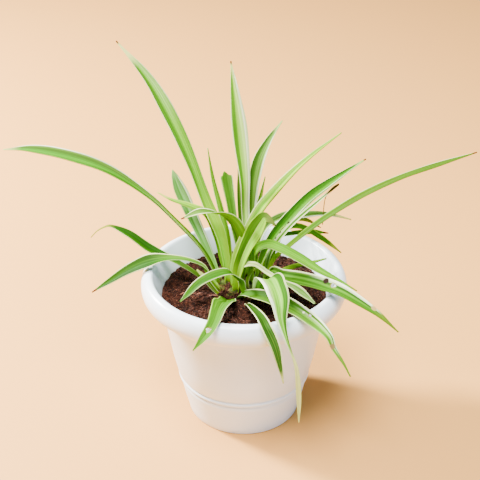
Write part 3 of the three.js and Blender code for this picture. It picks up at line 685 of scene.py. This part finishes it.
# Leaves
def leaf_line(leaf):
    """Points every ROW_STEP along the leaf, the direction there, the level direction across, the length."""
    heading = math.radians(leaf["heading"])
    ahead = np.array((math.cos(heading), math.sin(heading), 0))
    aside = np.array((-ahead[1], ahead[0], 0))
    start = np.array((*leaf["root"], 0))
    knots = []
    for reach, height, *stray in ((0, 0),) + leaf["path"]:
        point = start + ahead * reach + aside * (stray[0] if stray else 0)
        point[2] = LEAF_START + height
        knots.append(point)
    knots = np.array([2 * knots[0] - knots[1], *knots, 2 * knots[-1] - knots[-2]])
    fine = []
    for p0, p1, p2, p3 in zip(knots, knots[1:], knots[2:], knots[3:]):
        d0, d1, d2 = (math.sqrt(np.linalg.norm(b - a)) for a, b in ((p0, p1), (p1, p2), (p2, p3)))
        t1 = ((p1 - p0) / d0 - (p2 - p0) / (d0 + d1) + (p2 - p1) / d1) * d1
        t2 = ((p2 - p1) / d1 - (p3 - p1) / (d1 + d2) + (p3 - p2) / d2) * d1
        t = np.linspace(0, 1, CURVE_STEPS, endpoint=False)[:, None]
        square = (3 * (p2 - p1) - 2 * t1 - t2) * t ** 2
        fine.append(p1 + t1 * t + square + (2 * (p1 - p2) + t1 + t2) * t ** 3)
    fine = np.vstack((*fine, knots[-2]))
    length = np.concatenate(((0,), np.cumsum(np.linalg.norm(np.diff(fine, axis=0), axis=1))))
    rows = max(LEAST_ROWS, round(length[-1] / ROW_STEP))
    at = np.linspace(0, length[-1], rows + 1)
    points = np.column_stack([np.interp(at, length, fine[:, k]) for k in range(3)])
    slope = np.gradient(points, axis=0)
    return points, slope / np.linalg.norm(slope, axis=1)[:, None], aside, length[-1]


def value_at(values, s):
    """The values at shares s of the leaf's length, on a smooth line through values at even steps."""
    values = np.asarray(values, dtype=float)
    last = len(values) - 1
    step = np.minimum((s * last).astype(int), last - 1)
    t = s * last - step
    before, start = values[np.maximum(step - 1, 0)], values[step]
    stop, after = values[step + 1], values[np.minimum(step + 2, last)]
    bend = 2 * before - 5 * start + 4 * stop - after + t * (3 * (start - stop) + after - before)
    return start + 0.5 * t * (stop - before + t * bend)


def blade_surface(leaf, s, across_at, along_at):
    """Points of the blade's middle surface at places across and along it."""
    centre, ahead, aside, length = leaf_line(leaf)
    side = aside - ahead * (ahead @ aside)[:, None]
    side /= np.linalg.norm(side, axis=1)[:, None]
    up = np.cross(ahead, side)
    roll = np.radians(value_at(leaf.get("roll", (0, 0)), s))[:, None]
    across = side * np.cos(roll) + up * np.sin(roll)
    normal = up * np.cos(roll) - side * np.sin(roll)

    def here(rows):
        return np.stack([np.interp(along_at, s, rows[:, k]) for k in range(3)], axis=-1)

    closed = leaf.get("fold", BASE_FOLD)
    fold = np.radians(closed + (BLADE_FOLD - closed) * smoothstep(along_at, 0, OPEN_BY))
    reach = np.interp(along_at, s, value_at(leaf["widths"], s)) / 2
    flat = math.sqrt(CREASE)
    bend = (np.sqrt(across_at ** 2 + CREASE) - flat) / (math.sqrt(1 + CREASE) - flat) - 0.5
    phase = 2 * math.pi * along_at * length / WAVE_LENGTH + leaf["root"][0] + WAVE_SLANT * across_at
    lift = reach * np.sin(fold) * bend + WAVE * reach * np.sin(phase) * across_at ** 2
    shift = reach * np.cos(fold) * across_at
    return here(centre) + here(across) * shift[..., None] + here(normal) * lift[..., None]


def uneven(x, y):
    """Distance from a hole's middle, as a share of its ragged edge's distance."""
    turn = np.arctan2(y, x)
    ragged = 1
    for count, offset, height in HOLE_WAVES:
        ragged = ragged + height * np.sin(count * turn + offset)
    return np.hypot(x, y) * ragged


def blade_grid(leaf, rows):
    """Places across and along the blade for each point of its net, and which cells of the net are there."""
    s = np.linspace(0, 1, rows)
    u = np.linspace(-1, 1, COLUMNS + 1)
    torn = leaf.get("torn", (1, 1))
    ends = np.interp(u, np.linspace(-1, 1, len(torn)), torn)
    along = s[:, None] * ends[None, :]
    across = np.repeat(u[None, :], rows, axis=0)
    kept = np.ones((rows - 1, COLUMNS), dtype=bool)
    for u0, s0, half_width, half_length in leaf.get("holes", ()):
        middle_u = (u[1:] + u[:-1])[None, :] / 2
        middle_s = (s[1:] + s[:-1])[:, None] / 2
        gone = uneven((middle_u - u0) / half_width, (middle_s - s0) / half_length) < 1
        kept &= ~gone
        # Points between gone and kept cells are drawn onto the hole's edge
        padded = np.pad(gone, 1)
        beside = (padded[1:, 1:], padded[:-1, 1:], padded[1:, :-1], padded[:-1, :-1])
        some, every = np.logical_or.reduce(beside), np.logical_and.reduce(beside)
        away = uneven((across - u0) / half_width, (along - s0) / half_length)
        pull = np.where(some & ~every, 1 / np.maximum(away, HOLE_LEAST), 1)
        across = u0 + (across - u0) * pull
        along = s0 + (along - s0) * pull
    return s, across, along, kept


def blade_faces(kept, count):
    """Faces of both sides of the cells that are kept, and of the edge round them."""
    rows, columns = kept.shape
    faces = []
    for row, column in np.argwhere(kept).tolist():
        a = row * (columns + 1) + column
        corners = (a, a + columns + 1, a + columns + 2, a + 1)
        faces.append(corners)
        faces.append(tuple(v + count for v in corners[::-1]))
        beside = ((row, column - 1), (row + 1, column), (row, column + 1), (row - 1, column))
        for k, (r, c) in enumerate(beside):
            if not (0 <= r < rows and 0 <= c < columns and kept[r, c]):
                start, stop = corners[k], corners[(k + 1) % 4]
                faces.append((stop, start, start + count, stop + count))
    return faces


def build_leaf(leaf, seed):
    """A channelled blade with slightly waved edges, thinner at its margins, closed all round."""
    centre, _, _, length = leaf_line(leaf)
    rows = len(centre)
    s, across, along, kept = blade_grid(leaf, rows)
    surface = blade_surface(leaf, s, across, along)
    half = (BLADE_EDGE + (BLADE_MIDDLE - BLADE_EDGE) * (1 - across ** 2))[..., None] / 2
    plain = blade_surface(leaf, s, *np.meshgrid(np.linspace(-1, 1, COLUMNS + 1), s))
    facing = np.cross(np.gradient(plain, axis=0), np.gradient(plain, axis=1))
    facing /= np.linalg.norm(facing, axis=2)[..., None]
    count = rows * (COLUMNS + 1)
    top, bottom = surface + facing * half, surface - facing * half
    points = np.vstack((top.reshape(-1, 3), bottom.reshape(-1, 3)))
    faces = blade_faces(kept, count)
    used = np.unique(np.concatenate([np.array(face) for face in faces]))
    renumber = np.full(2 * count, -1)
    renumber[used] = np.arange(len(used))
    faces = [tuple(renumber[list(face)].tolist()) for face in faces]
    piece = make_object("blade_" + leaf["name"], points[used], faces, leaf_material(leaf, seed, length),
                        "leaf_" + leaf["name"])
    mesh = piece.data
    place = mesh.uv_layers.new(name="blade")
    grid = np.stack((across, along), axis=2).reshape(-1, 2)
    grid = np.vstack((grid, grid))[used].astype(np.float32)
    corners = np.empty(len(mesh.loops), dtype=np.int32)
    mesh.loops.foreach_get("vertex_index", corners)
    place.uv.foreach_set("vector", grid[corners].ravel())
    under = mesh.attributes.new("under", "FLOAT", "POINT")
    under.data.foreach_set("value", np.repeat((0.0, 1.0), count)[used].astype(np.float32))


# Planter
def lip_arc(smaller, first, last, steps):
    """Points round the lip, that much inside its outer face, from one angle to another."""
    arc = []
    for i in range(steps + 1):
        angle = math.radians(first + (last - first) * i / steps)
        arc.append((LIP["radius"] + (LIP["across"] - smaller) * math.cos(angle),
                    LIP["height"] + (LIP["up"] - smaller) * math.sin(angle)))
    return arc


def pot_outline():
    """The planter's section from the middle of its underside round to the middle of its floor."""
    bottom = [(0, 0), (RECESS["inner"], 0), (RECESS["inner"] + RECESS["slope"], RECESS["height"]),
              (RECESS["outer"] - RECESS["slope"], RECESS["height"]), (RECESS["outer"], 0),
              (FOOT_RADIUS - FOOT_FLAT, 0)]
    foot = [(FOOT_RADIUS + out, height) for out, height in FOOT_EDGE]
    band = [(radius, BEAD_HEIGHT + above) for radius, above in BEAD_BAND]
    inside = lip_arc(LIP["thick"], LIP["inner_end"], LIP["start"], LIP["inner_steps"])
    outside = lip_arc(0, LIP["start"], LIP["crest"], LIP["steps"])
    return [*bottom, *foot, *LOWER_WALL, *band, *UPPER_WALL, *inside, *outside, *LIP_EDGE, *INNER_WALL,
            (0, FLOOR)]


def build_pot():
    points, faces = lathe(pot_outline(), POT_SIDES)
    make_object("planter", points, faces, pot_material(), "pot")


# Soil
def soil_height(x, y):
    """Height of the solid's soil: gentle waves and mounds that level out towards the wall."""
    waves = (0.5 * math.sin(0.61 * x + 1.1) * math.sin(0.53 * y + 0.4)
             + 0.45 * math.sin(0.29 * x - 0.37 * y) + 0.3 * math.sin(1.13 * y + 0.7 * x))
    level = float(smoothstep(math.hypot(x, y), *LEVEL_BAND))
    rise = 0
    for (mx, my), high, spread in MOUNDS:
        rise += high * math.exp(-((x - mx) ** 2 + (y - my) ** 2) / spread ** 2)
    return SOIL_EDGE + (1 - level) * (waves + rise)


def soil_top(x, y):
    """Height of the soil with its clods and grit."""
    relief = 0
    for kind in (CLODS, GRIT):
        place = Vector((x * kind["scale"], y * kind["scale"], kind["slice"]))
        relief += kind["height"] * noise.fractal(place, kind["rough"], kind["step"], OCTAVES)
    return soil_height(x, y) + relief


def build_soil(paint):
    """The whole body of soil, in rings from the middle out and down along the wall."""
    points = [(0, 0, soil_height(0, 0))]
    faces = []
    for k in range(1, SOIL_RINGS + 1):
        radius = (SOIL_RADIUS - FIT) * (k / SOIL_RINGS) ** RING_SPREAD
        for i in range(SOIL_SECTORS):
            x, y, _ = on_circle(radius, 0, i, SOIL_SECTORS)
            points.append((x, y, soil_top(x, y)))
    below = [(r - FIT, max(z, FLOOR + FIT)) for r, z in INNER_WALL if z < SOIL_EDGE - 1]
    for radius, height in below:
        points += [on_circle(radius, height, i, SOIL_SECTORS) for i in range(SOIL_SECTORS)]
    points.append((0, 0, FLOOR + FIT))
    total = SOIL_RINGS + len(below)
    last = 1 + (total - 1) * SOIL_SECTORS
    for i in range(SOIL_SECTORS):
        j = (i + 1) % SOIL_SECTORS
        faces.append((0, 1 + i, 1 + j))
        for k in range(total - 1):
            a = 1 + k * SOIL_SECTORS
            faces.append((a + i, a + SOIL_SECTORS + i, a + SOIL_SECTORS + j, a + j))
        faces.append((last + i, len(points) - 1, last + j))
    make_object("soil_top", points, faces, paint, "soil")


def free_spot(draw, reach):
    """A place on the soil, spread evenly."""
    radius = reach * math.sqrt(draw.random())
    angle = 2 * math.pi * draw.random()
    return radius * math.cos(angle), radius * math.sin(angle)


def build_crumbs(paint):
    """Loose crumbs, each an uneven lump half sunk in the soil."""
    draw = np.random.default_rng(CRUMBS["seed"])
    ball = bmesh.new()
    bmesh.ops.create_icosphere(ball, subdivisions=1, radius=1)
    base = np.array([v.co for v in ball.verts])
    corners = [[v.index for v in face.verts] for face in ball.faces]
    ball.free()
    points = []
    faces = []
    for _ in range(CRUMBS["count"]):
        x, y = free_spot(draw, CRUMBS["reach"])
        grown = draw.random() ** CRUMBS["small_share"]
        size = CRUMBS["least"] + (CRUMBS["most"] - CRUMBS["least"]) * grown
        turn = np.linalg.qr(draw.normal(size=(3, 3)))[0]
        squashed = base * draw.uniform(*CRUMBS["squash"], 3)
        lump = (squashed + draw.normal(0, CRUMBS["uneven"], base.shape)) @ turn * size
        faces += [[v + len(points) for v in face] for face in corners]
        points += (lump + (x, y, soil_top(x, y) + CRUMBS["raised"] * size)).tolist()
    make_object("soil_crumbs", points, faces, paint, None, False)


def tube(line, radii, sides=6):
    """A closed tube through points, with a radius at each."""
    points = []
    faces = []
    line = np.asarray(line, dtype=float)
    slope = np.gradient(line, axis=0)
    for centre, ahead, radius in zip(line, slope, radii):
        ahead = ahead / np.linalg.norm(ahead)
        side = np.cross(ahead, NEARLY_UP)
        side /= np.linalg.norm(side)
        up = np.cross(ahead, side)
        for k in range(sides):
            angle = 2 * math.pi * k / sides
            points.append((centre + radius * (side * math.cos(angle) + up * math.sin(angle))).tolist())
    for row in range(len(line) - 1):
        for k in range(sides):
            a, b = row * sides + k, row * sides + (k + 1) % sides
            faces.append([a, b, b + sides, a + sides])
    faces.append(list(range(sides))[::-1])
    faces.append([len(points) - sides + k for k in range(sides)])
    return points, faces


def build_fibres():
    """Coir fibres lying on the soil, and a few thicker husk strips among them."""
    draw = np.random.default_rng(FIBRES["seed"])
    points = []
    faces = []
    strands = [(x, y, turn, length, thick) for (x, y), turn, length, thick in HUSKS]
    for _ in range(FIBRES["count"]):
        x, y = free_spot(draw, FIBRES["reach"])
        length = draw.uniform(FIBRES["shortest"], FIBRES["longest"])
        turn = draw.uniform(0, 360)
        strands.append((x, y, turn, length, FIBRES["thick"] * draw.uniform(*FIBRES["vary"])))
    for x, y, turn, length, thick in strands:
        bend = draw.uniform(-FIBRES["bend"], FIBRES["bend"])
        step = length / FIBRES["steps"]
        line = []
        for k in range(FIBRES["steps"]):
            angle = math.radians(turn + bend * k / FIBRES["steps"])
            line.append((x, y, soil_top(x, y) + FIBRES["raised"] + 0.25 * thick))
            x += step * math.cos(angle)
            y += step * math.sin(angle)
            if math.hypot(x, y) > FIBRES["reach"] + FIBRES["stray"]:
                break
        if len(line) > 3:
            first, spread = FIBRE_ENDS
            shares = [first + spread * k / (len(line) - 1) for k in range(len(line))]
            more, sides = tube(line, [0.5 * thick * math.sin(math.pi * share) for share in shares])
            faces += [[v + len(points) for v in face] for face in sides]
            points += more
    make_object("soil_fibres", points, faces, fibre_material(), None)


# Floor, light and camera
def build_floor():
    reach = GROUND["reach"]
    mesh = bpy.data.meshes.new("floor")
    corners = [(-reach, -reach, 0), (reach, -reach, 0), (reach, reach, 0), (-reach, reach, 0)]
    mesh.from_pydata(corners, [], [(0, 1, 2, 3)])
    material, tree, shader = new_material("floor")
    feed(tree, shader, {"Base Color": rgb(GROUND["colour"]), "Roughness": GROUND["roughness"]})
    mesh.materials.append(material)
    floor = new_object("floor", mesh)


def add_light(name, place, aim, size, power, colour):
    data = bpy.data.lights.new(name, "AREA")
    data.shape = "DISK"
    data.size = size
    data.energy = power
    data.color = colour
    lamp = new_object(name, data)
    lamp.location = place
    lamp.rotation_euler = (Vector(aim) - Vector(place)).to_track_quat("-Z", "Y").to_euler()


def add_sky():
    world = bpy.data.worlds.new("studio")
    world.use_nodes = True
    feed(world.node_tree, world.node_tree.nodes["Background"], SKY)
    bpy.context.scene.world = world


def add_camera():
    pitch = math.radians(PITCH_DEG)
    data = bpy.data.cameras.new("camera")
    data.lens = LENS_MM
    data.sensor_width = SENSOR_MM
    camera = new_object("camera", data)
    camera.location = AIM + DISTANCE * Vector((0, -math.cos(pitch), math.sin(pitch)))
    camera.rotation_euler = (math.pi / 2 - pitch, 0, 0)
    bpy.context.scene.camera = camera


# The object
for number, leaf in enumerate(LEAVES):
    build_leaf(leaf, number)
build_pot()
soil_paint = soil_material()
build_soil(soil_paint)
build_crumbs(soil_paint)
build_fibres()
rootstock_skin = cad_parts["rootstock"].data.materials
rootstock_skin.clear()
rootstock_skin.append(root_material())

build_floor()
for light in LIGHTS:
    add_light(*light)
add_sky()
add_camera()
